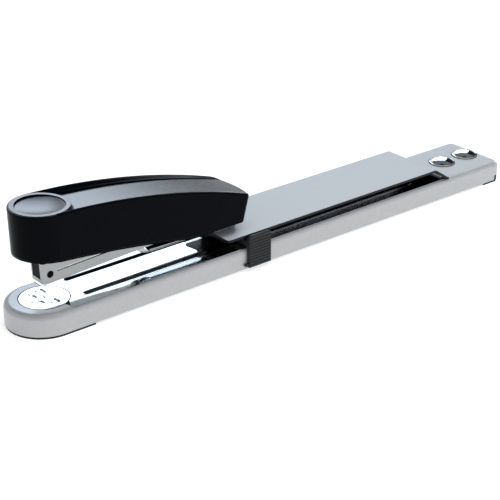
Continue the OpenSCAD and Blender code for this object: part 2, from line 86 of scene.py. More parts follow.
def linear(code):
    # sRGB hex colour to linear RGBA
    channels = [int(code[i:i + 2], 16) / 255 for i in (1, 3, 5)]
    return tuple(c / 12.92 if c <= 0.04045 else ((c + 0.055) / 1.055) ** 2.4 for c in channels) + (1.0,)


def addNode(tree, kind, inputs=None, **settings):
    # one node with its settings; an input is a value or the (node, output) that feeds it
    made = tree.nodes.new(kind)
    for key, value in settings.items():
        setattr(made, key, value)
    for key, value in (inputs or {}).items():
        if isinstance(value, tuple) and len(value) == 2 and hasattr(value[0], "outputs"):
            tree.links.new(value[0].outputs[value[1]], made.inputs[key])
        else:
            made.inputs[key].default_value = value
    return made


def show(made):
    # puts an object into the scene
    bpy.context.scene.collection.objects.link(made)


def newMaterial(name, **sockets):
    made = bpy.data.materials.new(name)
    made.use_nodes = True
    shader = made.node_tree.nodes["Principled BSDF"]
    for key, value in sockets.items():
        shader.inputs[key.replace("_", " ")].default_value = value
    return made, made.node_tree, shader


def grainCoordinates(tree, millimetres):
    # object coordinates, stretched so that one pattern cell is as long as given along X, Y and Z
    where = addNode(tree, "ShaderNodeTexCoord")
    size = tuple(1000 / value for value in millimetres)
    return addNode(tree, "ShaderNodeMapping", {"Vector": (where, "Object"), "Scale": size})


def addGrain(tree, shader, cell, height, rough=None, colours=None, detail=3.0):
    # noise with cells of the given size: a bump in millimetres, and a spread of roughness and of colour
    place = grainCoordinates(tree, cell)
    noise = addNode(tree, "ShaderNodeTexNoise", {"Vector": (place, "Vector"), "Scale": 1.0, "Detail": detail})
    if height:
        bump = addNode(tree, "ShaderNodeBump",
                       {"Height": (noise, 0), "Distance": height / 1000, "Strength": 1.0})
        tree.links.new(bump.outputs[0], shader.inputs["Normal"])
    if rough:
        spread = addNode(tree, "ShaderNodeMapRange", {"Value": (noise, 0), "From Min": 0.3, "From Max": 0.7,
                                                      "To Min": rough[0], "To Max": rough[1]})
        tree.links.new(spread.outputs[0], shader.inputs["Roughness"])
    if colours:
        ramp = addNode(tree, "ShaderNodeValToRGB", {"Fac": (noise, 0)})
        ramp.color_ramp.elements[0].position = 0.3
        ramp.color_ramp.elements[0].color = linear(colours[0])
        ramp.color_ramp.elements[1].position = 0.7
        ramp.color_ramp.elements[1].color = linear(colours[1])
        tree.links.new(ramp.outputs[0], shader.inputs["Base Color"])


# ABS moulded in a polished tool: nearly black and darker than the copy below, with its reflection turned
# almost off so that the faces given it read as in shade (painted shade); a trace of orange peel
shadedGlossAbs, tree, shader = newMaterial("gloss_abs_painted_shade", IOR=1.5, Specular_IOR_Level=0.03)
addGrain(tree, shader, (1.6, 1.6, 1.6), 0.004, (0.16, 0.24), ("#040508", "#06080b"))

# the same ABS in a lighter copy, moulded in a finely blasted tool, with its reflection raised above that of
# plain plastic and a wider, softer mirror: a painted sheen for the faces that look up
litSatinAbs, tree, shader = newMaterial("satin_abs_painted_sheen", IOR=1.55, Specular_IOR_Level=0.9)
addGrain(tree, shader, (0.5, 0.5, 0.5), 0.0, (0.22, 0.28), ("#0a0c0f", "#0e1013"))

# glass-filled nylon, spark-eroded texture: dull charcoal
stopNylon, tree, shader = newMaterial("textured_nylon", IOR=1.53, Specular_IOR_Level=0.4)
addGrain(tree, shader, (0.3, 0.3, 0.3), 0.02, (0.42, 0.6), ("#141416", "#1d1d1f"))

# rubber, moulded and matt
footRubber, tree, shader = newMaterial("matt_rubber", IOR=1.52, Specular_IOR_Level=0.3)
addGrain(tree, shader, (0.4, 0.4, 0.4), 0.03, (0.7, 0.85), ("#0c0c0c", "#131313"))

# silver-grey stoving lacquer over pressed steel: even, satin, with fine orange peel
baseLacquer, tree, shader = newMaterial("silver_lacquer", IOR=1.5, Metallic=0.4)
addGrain(tree, shader, (2.0, 2.0, 2.0), 0.0, (0.3, 0.34), ("#acadae", "#b1b2b3"))

# lighter lacquer on the arm plate, laid over sheet that was brushed along its length
armLacquer, tree, shader = newMaterial("brushed_lacquer", IOR=1.5, Metallic=0.0, Specular_IOR_Level=0.25)
addGrain(tree, shader, (26.0, 0.35, 2.0), 0.002, (0.4, 0.5), ("#a3a7ab", "#abafb3"))

# the arm plate's sheared edges and its underside: near-black metal with a dull mirror, which paints the shade
# that falls on the edges and under the plate (painted shade)
armShadeSteel, tree, shader = newMaterial("arm_edges_painted_shade", Metallic=0.8)
addGrain(tree, shader, (3.0, 1.0, 1.0), 0.004, (0.22, 0.32), ("#1a1c20", "#24272b"))

# nickel-plated and mirror polished sheet: a clear mirror with slight waves from pressing
polishedNickel, tree, shader = newMaterial("polished_nickel", Metallic=1.0)
addGrain(tree, shader, (9.0, 5.0, 5.0), 0.012, (0.05, 0.09), ("#c0c3c5", "#c9cccd"), 2.0)

# bright chrome on formed rivets and springs
brightChrome, tree, shader = newMaterial("bright_chrome", Metallic=1.0)
addGrain(tree, shader, (2.5, 2.5, 2.5), 0.002, (0.03, 0.06), ("#e4e5e6", "#eeeff0"), 1.0)

# satin nickel on the magazine, with the faint upright lines of rolled sheet
satinNickel, tree, shader = newMaterial("satin_nickel", Metallic=1.0)
addGrain(tree, shader, (14.0, 0.5, 0.5), 0.003, (0.26, 0.36), ("#979a9a", "#a3a6a6"))

# zinc plate on hidden steel parts: grey, slightly mottled
zincPlate, tree, shader = newMaterial("zinc_plate", Metallic=1.0)
addGrain(tree, shader, (2.2, 2.2, 2.2), 0.006, (0.28, 0.42), ("#8f9294", "#a5a8aa"))

# blackened spring steel
blackedSteel, tree, shader = newMaterial("blackened_steel", Metallic=0.6)
addGrain(tree, shader, (0.8, 0.8, 0.8), 0.004, (0.35, 0.5), ("#18181a", "#242426"))

# screen-printed ink, dark grey
markInk, tree, shader = newMaterial("printed_ink", IOR=1.45)
addGrain(tree, shader, (0.4, 0.4, 0.4), 0.002, (0.4, 0.55), ("#1b1d20", "#26282b"))
print("materials made")


# a grid below is an array of rows of points, in millimetres from the tip of the nose
def arcHeight(arc, x):
    # height of a big circle's upper side at x: centre height plus the root of radius squared less run squared
    return arc[1] + np.sqrt(arc[2] ** 2 - (x - arc[0]) ** 2)


def smooth(t):
    # 0 to 1 with level ends: 3t^2 - 2t^3
    t = np.clip(t, 0, 1)
    return t * t * (3 - 2 * t)


def steps(*stops):
    # values through the stops: (start, (end, count), ...)
    rows = [np.array([stops[0]])]
    for end, count in stops[1:]:
        rows.append(np.linspace(rows[-1][-1], end, count + 1)[1:])
    return np.concatenate(rows)


def quads(rows, cols, wrapRows=False, wrapCols=False):
    # corner numbers of the faces between the points of a grid
    r, c = np.meshgrid(np.arange(rows - (not wrapRows)), np.arange(cols - (not wrapCols)), indexing="ij")
    r2, c2 = (r + 1) % rows, (c + 1) % cols
    return np.stack([r * cols + c, r2 * cols + c, r2 * cols + c2, r * cols + c2], -1).reshape(-1, 4)


def revolve(profile, segments=96):
    # a profile of (radius, height) turned about the Z axis
    profile = np.asarray(profile, float)
    turn = np.linspace(0, 2 * np.pi, segments, endpoint=False)
    return np.stack([profile[:, :1] * np.cos(turn), profile[:, :1] * np.sin(turn),
                     np.repeat(profile[:, 1:], segments, 1)], -1)


def roundedLoop(corners, radii, count=6):
    # closed outline through the corners, each replaced by an arc tangent to its two sides
    corners = np.asarray(corners, float)
    points = []
    for i, radius in enumerate(radii):
        here = corners[i]
        back, ahead = corners[i - 1] - here, corners[(i + 1) % len(corners)] - here
        back, ahead = back / np.linalg.norm(back), ahead / np.linalg.norm(ahead)
        if radius <= 0:
            points.append(here[None])
            continue
        half = math.acos(float(np.clip(back @ ahead, -1, 1))) / 2
        middle = (back + ahead) / np.linalg.norm(back + ahead)
        centre = here + middle * radius / math.sin(half)
        start, finish = here + back * radius / math.tan(half), here + ahead * radius / math.tan(half)
        a0 = math.atan2(*(start - centre)[::-1])
        turn = (math.atan2(*(finish - centre)[::-1]) - a0 + math.pi) % (2 * math.pi) - math.pi
        angle = a0 + turn * np.linspace(0, 1, count + 1)
        points.append(centre + radius * np.stack([np.cos(angle), np.sin(angle)], -1))
    return np.concatenate(points)


def prism(outline, low, high):
    # an outline in the first two axes carried from low to high along the third
    return np.stack([np.concatenate([outline, np.full((len(outline), 1), h)], 1) for h in (low, high)])


def tube(path, radius, sides=10):
    # a ring of points about each point of a path, square to the path, kept from twisting
    path = np.asarray(path, float)
    along = np.gradient(path, axis=0)
    along /= np.linalg.norm(along, axis=1, keepdims=True)
    side = np.cross(along, (0.0, 1.0, 0.03))
    side /= np.linalg.norm(side, axis=1, keepdims=True)
    up = np.cross(along, side)
    turn = np.linspace(0, 2 * np.pi, sides, endpoint=False)[None, :, None]
    return path[:, None] + radius * (np.cos(turn) * side[:, None] + np.sin(turn) * up[:, None])


def finish(made, material, body, replaces=(), slot=None, sharp=35.0):
    made.data.materials.clear()
    made.data.materials.append(material)
    made.data.shade_smooth()
    made.data.set_sharp_from_angle(angle=math.radians(sharp))
    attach(made, body)
    if replaces:
        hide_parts(*replaces)
    return made


def addPiece(name, patches, material, body, replaces=(), slot=None, sharp=35.0, caps=(), thickness=0.0,
             openings=(), evenWall=True):
    # patches are (grid, wrapRows, wrapCols); caps are (patch number, row) closed with one face;
    # openings are boxes inside which faces are left out
    points, faces, start = [], [], 0
    starts = []
    for grid, wrapRows, wrapCols in patches:
        rows, cols = grid.shape[:2]
        faces += (quads(rows, cols, wrapRows, wrapCols) + start).tolist()
        points.append(grid.reshape(-1, 3))
        starts.append(start)
        start += rows * cols
    for patch, row in caps:
        rows, cols = patches[patch][0].shape[:2]
        ring = (starts[patch] + (row % rows) * cols + np.arange(cols)).tolist()
        faces.append(ring)
    points = np.concatenate(points)
    for low, high in openings:
        middles = np.array([points[face].mean(0) for face in faces])
        inside = np.all((middles > low) & (middles < high), 1)
        faces = [face for face, gone in zip(faces, inside) if not gone]
    points = (points + (noseTip, 0, 0)) / 1000
    mesh = bpy.data.meshes.new(name)
    mesh.from_pydata(points.tolist(), [], faces)
    tidyMesh(mesh)
    made = bpy.data.objects.new(name, mesh)
    show(made)
    if thickness:
        wall = made.modifiers.new("wall", "SOLIDIFY")
        wall.thickness = thickness / 1000
        wall.offset = -1
        wall.use_even_offset = evenWall
    return finish(made, material, body, replaces, slot, sharp)


def tidyMesh(mesh):
    work = bmesh.new()
    work.from_mesh(mesh)
    bmesh.ops.remove_doubles(work, verts=work.verts, dist=2e-6)
    bmesh.ops.dissolve_degenerate(work, edges=work.edges, dist=1e-6)
    bmesh.ops.recalc_face_normals(work, faces=work.faces)
    work.to_mesh(mesh)
    work.free()


def faceValues(made, kind):
    # one row per face: its normal or its centre
    values = np.zeros((len(made.data.polygons), 3))
    made.data.polygons.foreach_get(kind, values.ravel())
    return values


def dressNode(node, material, bevel=0.0, slot=None, sharp=35.0):
    # a merged copy of a CAD node with softened edges, which stands for the node
    source = frame["nodes"][node]
    mesh = source.data.copy()
    work = bmesh.new()
    work.from_mesh(mesh)
    bmesh.ops.remove_doubles(work, verts=work.verts, dist=1e-6)
    bmesh.ops.dissolve_limit(work, angle_limit=math.radians(1.0), verts=work.verts, edges=work.edges)
    work.to_mesh(mesh)
    work.free()
    mesh.name = node + "_finished"
    made = bpy.data.objects.new(mesh.name, mesh)
    show(made)
    if bevel:
        soft = made.modifiers.new("soft edges", "BEVEL")
        soft.width = bevel / 1000
        soft.segments = 2
        soft.limit_method = "ANGLE"
        soft.angle_limit = math.radians(sharp)
        soft.use_clamp_overlap = True
    return finish(made, material, source["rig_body"], (node,), slot, sharp)


camera = {"spot": (-350.6, -650.6, 399.6), "look": (0.5683, 0.7008, -0.4311), "lens": 103.94}
eye = bpy.data.cameras.new("camera")
eye.lens = camera["lens"]
eye.sensor_width = 36
eyeObject = bpy.data.objects.new("camera", eye)
eyeObject.location = (np.array(camera["spot"]) + (noseTip, 0, 0)) / 1000
eyeObject.rotation_euler = Vector(camera["look"]).to_track_quat("-Z", "Y").to_euler()
show(eyeObject)
bpy.context.scene.camera = eyeObject

studio = {"floor": 10.0, "glow": 0.62}
# white acrylic sheet lit from below
floorMaterial, tree, shader = newMaterial("acrylic_sheet", Roughness=0.9, Specular_IOR_Level=0.0,
                                          Emission_Color=linear("#ffffff"), Emission_Strength=studio["glow"])
shader.inputs["Base Color"].default_value = linear("#c8c8c8")
half = studio["floor"] / 2
floorMesh = bpy.data.meshes.new("floor")
corners = [(-half, -half, 0), (half, -half, 0), (half, half, 0), (-half, half, 0)]
floorMesh.from_pydata(corners, [], [(0, 1, 2, 3)])
floorMesh.materials.append(floorMaterial)
floor = bpy.data.objects.new("floor", floorMesh)
show(floor)


def addLight(name, spot, target, size, power, colour="#ffffff", mirrored=True):
    light = bpy.data.lights.new(name, "AREA")
    light.shape = "RECTANGLE"
    light.size, light.size_y = size
    light.energy = power
    light.color = linear(colour)[:3]
    made = bpy.data.objects.new(name, light)
    made.location = spot
    made.rotation_euler = (Vector(target) - Vector(spot)).to_track_quat("-Z", "Y").to_euler()
    made.visible_glossy = mirrored
    show(made)


addLight("softboxBehind", (0.95, 1.15, 0.95), (0, 0, 0.03), (1.1, 0.9), 9, "#dcecff")
addLight("overhead", (0.1, -0.35, 1.5), (0, 0, 0), (1.2, 1.2), 20, mirrored=False)
addLight("fill", (0.6, -1.3, 0.4), (0, 0, 0.02), (0.9, 0.5), 3.5, mirrored=False)

# the sky of the studio tent: white, fading to dark at the horizon and overhead, with two dark patches;
# a patch is its direction and the cosines at which it is fully dark and at which it ends
sky = {"horizon": 0.04, "high": 0.85, "top": 0.2, "from": 0.0, "to": 0.26, "bend": (0.47, 0.68), "dark": 0.03,
       "patches": (((-0.246, -0.304, 0.92), 0.97, 0.9), ((0.82, 0.25, 0.51), 0.95, 0.88))}
world = bpy.data.worlds.new("studio")
world.use_nodes = True
tree = world.node_tree
direction = addNode(tree, "ShaderNodeTexCoord")
split = addNode(tree, "ShaderNodeSeparateXYZ", {"Vector": (direction, "Generated")})
rise = addNode(tree, "ShaderNodeMapRange",
               {"Value": (split, "Z"), "From Min": sky["from"], "From Max": sky["to"],
                "To Min": sky["horizon"], "To Max": sky["high"]}, interpolation_type="SMOOTHSTEP")
fall = addNode(tree, "ShaderNodeMapRange",
               {"Value": (split, "Z"), "From Min": sky["bend"][0], "From Max": sky["bend"][1],
                "To Min": 1.0, "To Max": sky["top"]}, interpolation_type="SMOOTHSTEP")
strength = addNode(tree, "ShaderNodeMath", {0: (rise, 0), 1: (fall, 0)}, operation="MULTIPLY")
for middle, inner, outer in sky["patches"]:
    aside = addNode(tree, "ShaderNodeVectorMath", {"Vector": (direction, "Generated")},
                    operation="DOT_PRODUCT")
    aside.inputs[1].default_value = middle
    patch = addNode(tree, "ShaderNodeMapRange",
                    {"Value": (aside, "Value"), "From Min": inner, "From Max": outer,
                     "To Min": sky["dark"], "To Max": 1.0}, interpolation_type="SMOOTHSTEP")
    strength = addNode(tree, "ShaderNodeMath", {0: (strength, 0), 1: (patch, 0)}, operation="MULTIPLY")
tree.nodes["Background"].inputs["Color"].default_value = linear("#f4faff")
tree.links.new(strength.outputs[0], tree.nodes["Background"].inputs["Strength"])
bpy.context.scene.world = world
bpy.context.scene.view_settings.view_transform = "Standard"
print("camera and lights set")


# head cover; each arc is (centre X, centre Z, radius)
cover = {
    "half": 18.6, "noseX": 25.0, "wall": 2.0, "fillet": 1.3, "top": (13.7, -376.3, 450.1),
    "strip": (13.9, -435.7, 506.2), "low": (-41.9, -779.3, 826.3), "lowEnd": 118.0, "flat": 31.5,
    "rearX": 166.0, "bulgeRadius": 37.0, "corner": 4.0, "lean": 0.27, "leanFrom": 128.0, "leanRun": 30.0,
    "inlay": 13.0, "inlaySheet": 0.7, "inlayEdge": 0.4, "lipTop": 17.3, "groove": 0.15, "step": 0.35,
    "seat": 0.9, "ring": (17.3, 18.5), "dish": 14.5, "dishRim": 0.35, "pocket": (3.4, 3.9), "draft": 0.5,
    "sink": 1.1, "bowl": 1.5, "padEdge": 0.3, "padDeep": 2.8, "notch": ((158, 170), 11.02),
    "pivot": (151.67, 37.07), "boss": (4.6, 12.7, 17.6),
}


def coverRearX(y):
    # the bulged rear edge: a shallow parabola, with a quarter circle at each corner
    c = cover
    side = c["half"] - c["corner"]
    bulge = c["rearX"] - np.minimum(np.abs(y), side) ** 2 / (2 * c["bulgeRadius"])
    over = np.clip((np.abs(y) - side) / c["corner"], 0, 1)
    return bulge - c["corner"] * (1 - np.sqrt(1 - over ** 2))


def coverEdge(x, y):
    # distance from a point of the plan to the cover's outline
    c = cover
    side = c["half"] - c["corner"]
    cornerX = c["rearX"] - side ** 2 / (2 * c["bulgeRadius"]) - c["corner"]
    fromNose = c["half"] - np.hypot(x - c["noseX"], y)
    fromSide = np.minimum(c["half"] - np.abs(y), coverRearX(np.minimum(np.abs(y), side)) - x)
    inCorner = (x > cornerX) & (np.abs(y) > side)
    fromCorner = c["corner"] - np.hypot(x - cornerX, np.abs(y) - side)
    return np.maximum(np.where(x < c["noseX"], fromNose, np.where(inCorner, fromCorner, fromSide)), 0)


def coverTop(x, y, seat=0.0):
    # rim height, less the strip's recess between its sloping lips, less the rounded outer edge
    c = cover
    rim = arcHeight(c["top"], x)
    recess = rim - arcHeight(c["strip"], x)
    lip = (c["lipTop"] - np.abs(y)) / (c["lipTop"] - c["inlay"])
    sloping = (1 - c["step"]) * (0.5 * np.clip(lip, 0, 1) + 0.5 * smooth(lip))
    lip = np.where(np.abs(y) < c["inlay"] + 0.1, 1.0, sloping)
    inner, outer = c["ring"]
    behind = np.where(x > c["noseX"], smooth((np.hypot(x - c["noseX"], y) - inner) / (outer - inner)), 0)
    height = rim - recess * lip * behind
    height -= seat * (np.abs(y) < c["inlay"] + c["groove"] / 2) * (behind > 0.999)
    edge = np.clip(c["fillet"] - coverEdge(x, y), 0, c["fillet"])
    return height - (c["fillet"] - np.sqrt(c["fillet"] ** 2 - edge ** 2))


def coverLow(x):
    # lower edge: a long arc that runs out into a level stretch
    return np.maximum(arcHeight(cover["low"], np.minimum(x, cover["lowEnd"])), cover["flat"])


def makeCover():
    c = cover
    filletSteps = c["half"] - c["fillet"] * (1 - np.cos(np.linspace(np.pi / 2, 0, 8)))
    outer = steps(0.0, (11.0, 12), (12.6, 2), (12.9, 2), (c["inlay"], 1), (c["inlay"] + 0.08, 1),
                  (c["inlay"] + 0.2, 1), (13.4, 2), (c["lipTop"], 14))
    ys = np.concatenate([outer, filletSteps[1:] if filletSteps[0] <= outer[-1] else filletSteps])
    ys = np.concatenate([-ys[:0:-1], ys])
    # nose: rings about the dish, whose rear half meets the columns of the rear part
    rearAngles = np.arcsin(np.clip(ys / c["half"], -1, 1))
    frontAngles = np.linspace(np.pi / 2, 3 * np.pi / 2, 97)[1:-1]
    angles = np.concatenate([rearAngles, frontAngles])
    rim = c["dishRim"]
    radii = np.concatenate([steps(c["dish"] + rim, (17.2, 8), (17.6, 4), (c["ring"][1], 14)),
                            [18.54, 18.58, c["half"]]])
    r, a = np.meshgrid(radii, angles, indexing="ij")
    x, y = c["noseX"] + r * np.cos(a), r * np.sin(a)
    x = np.where(np.abs(np.cos(a)) < 1e-9, c["noseX"], x)
    nose = np.stack([x, y, coverTop(x, y)], -1)
    # a rounded rim into the dish's pocket, and the pocket's floor
    rimHeight = nose[0, :, 2]
    pocket = []
    for turn in np.linspace(0, np.pi / 2, 5):
        radius = c["dish"] + rim - rim * math.sin(turn)
        pocket.append((radius, rim * (1 - math.cos(turn))))
    wall, floorDrop = c["pocket"]
    pocket += [(c["dish"], wall), (c["dish"] - 0.6, floorDrop), (c["dish"] / 2 - 0.25, floorDrop),
               (0.02, floorDrop)]
    well = np.stack([np.stack([c["noseX"] + radius * np.cos(angles), radius * np.sin(angles),
                               rimHeight - drop], -1) for radius, drop in pocket])
    # rear part: columns across, rows from the nose's circle to the rear edge
    rows = steps(0.0, (0.0008, 1), (0.02, 2), (0.98, 90), (0.99, 2))
    rows = np.concatenate([rows, 1 - 0.0095 * np.cos(np.linspace(0.05, np.pi / 2, 8))])
    t, y = np.meshgrid(rows, ys, indexing="ij")
    start = c["noseX"] + np.sqrt(np.maximum(c["half"] ** 2 - y ** 2, 0))
    x = start + t * (coverRearX(y) - start)
    inside = (t > 0.0004) & (coverEdge(x, y) > 0.8)
    rear = np.stack([x, y, np.where(inside, coverTop(x, y, c["seat"]), coverTop(x, y))], -1)
    # outside wall hangs from the outline: front of the nose, near side, rear, far side
    nearSide, farSide = rear[:, 0], rear[::-1, -1]
    front = nose[-1, len(ys) - 1:]
    outline = np.concatenate([front, nearSide, rear[-1, 1:], farSide[1:]])
    down = steps(0.0, (0.645, 11), (1.0, 6))[:, None]  # one row lies at the height of the rear notch
    top, low = outline[None, :, 2], coverLow(outline[None, :, 0])
    z = top + (low - top) * down
    lean = c["lean"] * smooth((outline[None, :, 0] - c["leanFrom"]) / c["leanRun"]) * (top - z)
    inward = np.where(outline[:, 0] < c["noseX"], 1.0, 0.0)[None] * c["draft"] * down / c["half"]
    x = outline[None, :, 0] - lean - (outline[None, :, 0] - c["noseX"]) * inward
    y = outline[None, :, 1] * (1 - inward)
    wall = np.stack([x, y + 0 * z, z], -1)
    (notchFrom, notchTo), notchHalf = c["notch"]
    patches = [(nose, False, True), (well, False, True), (rear, False, False), (wall, False, False)]
    made = addPiece("coverShell", patches, shadedGlossAbs, "cover", ("cover_shell",), "cover_plastic", 40.0,
                    thickness=c["wall"], evenWall=False,
                    openings=[((notchFrom, -notchHalf, 0), (notchTo, notchHalf, c["pivot"][1] + 0.4))])
    # the faces that look up, apart from the strip's two lips, take the lighter copy with the raised
    # reflection (painted sheen); the walls and the lips keep the darker copy with almost no reflection
    # (painted shade)
    made.data.materials.append(litSatinAbs)
    upward, middle = faceValues(made, "normal")[:, 2], faceValues(made, "center") * 1000
    x, y = middle[:, 0] - noseTip, middle[:, 1]
    lips = (x > c["noseX"]) & (np.abs(y) > c["inlay"]) & (np.hypot(x - c["noseX"], y) > c["ring"][0])
    made.data.polygons.foreach_set("material_index", ((upward > 0.6) & ~lips).astype(np.int32))
    # bosses that hold the ends of the hinge pin
    radius, inner, outer = c["boss"]
    square = [(-radius, -radius), (radius, -radius), (radius, radius), (-radius, radius)]
    hub = prism(roundedLoop(square, [radius - 0.01] * 4, 10), inner, outer)
    hub = hub[:, :, [0, 2, 1]] + (c["pivot"][0], 0, c["pivot"][1])
    addPiece("coverBosses", [(hub, False, True), (hub * (1, -1, 1), False, True)], shadedGlossAbs, "cover", (),
             "cover_plastic", 40.0, caps=[(0, 0), (0, 1), (1, 0), (1, 1)])


def makeInlay():
    # recessed strip: follows the strip's arc, with rounded long edges and a rounded front round the ring
    c = cover
    edge = c["inlayEdge"]
    half = c["inlay"] - c["groove"] / 2
    turnOver = np.sin(np.linspace(0, np.pi / 2, 6))[1:]
    ys = np.concatenate([steps(0.0, (half - edge, 16)), half - edge + edge * turnOver])
    ys = np.concatenate([-ys[:0:-1], ys])
    rows = np.concatenate([[0, 0.0006, 0.0015, 0.003], np.linspace(0.006, 0.994, 90),
                           [0.997, 0.9985, 0.9994, 1]])
    t, y = np.meshgrid(rows, ys, indexing="ij")
    start = c["noseX"] + np.sqrt((c["half"] + 0.1) ** 2 - y ** 2)
    finishX = coverRearX(y) - c["fillet"] - 0.1
    x = start + t * (finishX - start)
    fromEdge = np.minimum.reduce([half - np.abs(y), x - start, finishX - x])
    roundOff = np.clip(edge - fromEdge, 0, edge)
    z = arcHeight(c["strip"], x) - (edge - np.sqrt(edge ** 2 - roundOff ** 2)) - 0.02
    # the strip takes the lighter copy of the black ABS with the raised reflection: painted sheen
    addPiece("topInlay", [(np.stack([x, y, z], -1), False, False)], litSatinAbs, "cover", ("top_inlay",),
             "cover_plastic", 40.0, thickness=c["inlaySheet"])


def makeThumbPad():
    # a disc sunk below the ring, its top a shallow spherical bowl that turns over at the rim
    c = cover
    rim = arcHeight(c["top"], c["noseX"]) - c["sink"]
    radius, depth, lip = c["dish"] - 0.1, c["bowl"], c["padEdge"]
    turnOver = np.sin(np.linspace(0, np.pi / 2, 7))[1:]
    r = np.concatenate([np.linspace(0.02, radius - lip, 48), radius - lip + lip * turnOver])
    ball = (radius ** 2 + depth ** 2) / (2 * depth)
    over = np.clip(r - (radius - lip), 0, lip)
    z = rim - depth + ball - np.sqrt(ball ** 2 - np.minimum(r, radius - lip) ** 2)
    z += np.sqrt(lip ** 2 - over ** 2) - lip
    low = rim - c["padDeep"]
    profile = np.concatenate([np.stack([r, z], -1), [[radius, low], [0.02, low]]])
    pad = revolve(profile, 128) + (c["noseX"], 0, 0)
    # the pad takes the lighter copy of the black ABS with the raised reflection: painted sheen
    addPiece("thumbPad", [(pad, False, True)], litSatinAbs, "cover", ("thumb_pad",), "cover_plastic", 50.0)


makeCover()
makeInlay()
makeThumbPad()
print("cover made")


def nodeBox(name):
    # lowest and highest corner of a CAD node in millimetres from the tip of the nose
    low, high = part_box(name)
    return np.array(low) * 1000 - (noseTip, 0, 0), np.array(high) * 1000 - (noseTip, 0, 0)


baseLow, baseHigh = nodeBox("base_channel")
bedHigh = nodeBox("bed_plate")[1]
armLow, armHigh = nodeBox("arm_plate")
armUnder = 23.0  # height of the arm sheet's underside over the bed
armSheet = armHigh[2] - armUnder
base = {"sheet": 1.4, "edge": 3.5, "tailCorner": 2.5, "seat": 0.6, "tailSeat": 14.1, "holeX": 23.8,
        "hole": 15.5, "holeEdge": 0.25, "lugs": ((382.0, 384.0), 5.0), "bedX": 30.0, "tailX": 333.9,
        "under": (4.6, 5.8)}


def makeBase():
    # the outline of the plan, pushed inwards along its normals while the profile climbs the wall,
    # turns over the rounded edge and runs level under the plates
    b = base
    half, end, top = baseHigh[1], baseHigh[0], baseHigh[2]
    turn = np.linspace(-np.pi / 2, np.pi / 2, 97)
    nose = np.stack([half - half * np.cos(turn), half * np.sin(turn)], -1)
    noseIn = np.stack([np.cos(turn), -np.sin(turn)], -1)
    bedX, tailX, lugX = b["bedX"], b["tailX"], b["lugs"][0][0]
    runs = steps(half, (bedX, 7), (bedX + 0.02, 1), (tailX - 0.1, 76), (tailX + 0.1, 1), (lugX - 0.1, 12),
                 (lugX, 1), (end - b["tailCorner"], 1))
    side = np.stack([runs, np.full(len(runs), half)], -1)
    sideIn = np.tile((0.0, -1.0), (len(runs), 1))
    round1 = np.linspace(np.pi / 2, 0, 9)[1:]
    centre = np.array([end - b["tailCorner"], half - b["tailCorner"]])
    corner = centre + b["tailCorner"] * np.stack([np.cos(round1), np.sin(round1)], -1)
    cornerIn = -np.stack([np.cos(round1), np.sin(round1)], -1)
    far = np.concatenate([side[1:], corner])
    farIn = np.concatenate([sideIn[1:], cornerIn])
    rear = np.stack([np.full(19, end), np.linspace(corner[-1, 1], -corner[-1, 1], 21)[1:-1]], -1)
    rearIn = np.tile((-1.0, 0.0), (19, 1))
    plan = np.concatenate([nose, far, rear, far[::-1] * (1, -1)])
    inward = np.concatenate([noseIn, farIn, rearIn, farIn[::-1] * (1, -1)])
    climb = steps(baseLow[2], (baseLow[2] + 0.1, 1), (b["lugs"][1], 3), (top - b["edge"], 6))
    over = np.linspace(0, np.pi / 2, 13)[1:]
    depth = np.concatenate([np.zeros(len(climb)), b["edge"] * (1 - np.cos(over)), b["under"]])
    z = np.concatenate([climb, top - b["edge"] * (1 - np.sin(over)), [top, top]])
    depth, x, y = depth[:, None], plan[None, :, 0], plan[None, :, 1]
    onNose = x < bedX + 0.01
    limit = np.where(onNose, top, np.where(x < tailX, top - b["seat"], b["tailSeat"] - 0.02))
    z = np.minimum(z[:, None], limit)
    squeeze = np.where(onNose, np.minimum(depth, b["edge"]), depth)
    shell = np.stack([x + squeeze * inward[None, :, 0], y + squeeze * inward[None, :, 1], z], -1)
    # level top of the nose, from the rounded edge to the anvil's hole
    front = shell[-1][np.r_[len(plan) - 7:len(plan), 0:len(nose) + 7]]
    front = front[np.abs(front[:, 0]) < bedX + 0.01]
    share = np.linspace(0, 1, len(front))
    reach = math.acos((bedX - b["holeX"]) / b["hole"])
    around = -reach - share * (2 * np.pi - 2 * reach)
    rim = np.stack([b["holeX"] + b["hole"] * np.cos(around), b["hole"] * np.sin(around),
                    np.full(len(front), top)], -1)
    part = np.concatenate([np.linspace(0, 0.98, 8), [0.985, 0.99]])[:, None, None]
    deck = front[None] + part * (rim[None] - front[None])
    lip = np.linspace(0, np.pi / 2, 5)[1:, None, None]
    sink = np.concatenate([(1 - np.sin(np.pi / 2 - lip)) * b["holeEdge"], [[[b["sheet"] - 0.2]]]])
    hole = np.repeat(rim[None], len(sink), 0)
    hole[:, :, 2:] -= sink
    deck = np.concatenate([deck, hole])
    (lugFrom, lugTo), lugTop = b["lugs"]
    addPiece("baseChannel", [(shell, False, True), (deck, False, False)], baseLacquer, "base",
             ("base_channel",), "base_paint", 30.0, thickness=b["sheet"], evenWall=False,
             openings=[((lugFrom, -half - 1, 0), (lugTo, half + 1, lugTop))])


makeBase()
print("base made")


# bed plate: polished tray with two pressed troughs
bed = {"front": 30.0, "offset": 11.0, "flat": 0.2, "shoulder": 3.3, "depth": 1.2, "run": (46.5, 306.5),
       "ends": (42.5, 50.0, 304.0, 311.0), "edge": 0.3, "clear": 15.45, "sheet": 0.55, "sag": 0.05,
       "wave": 9.0}


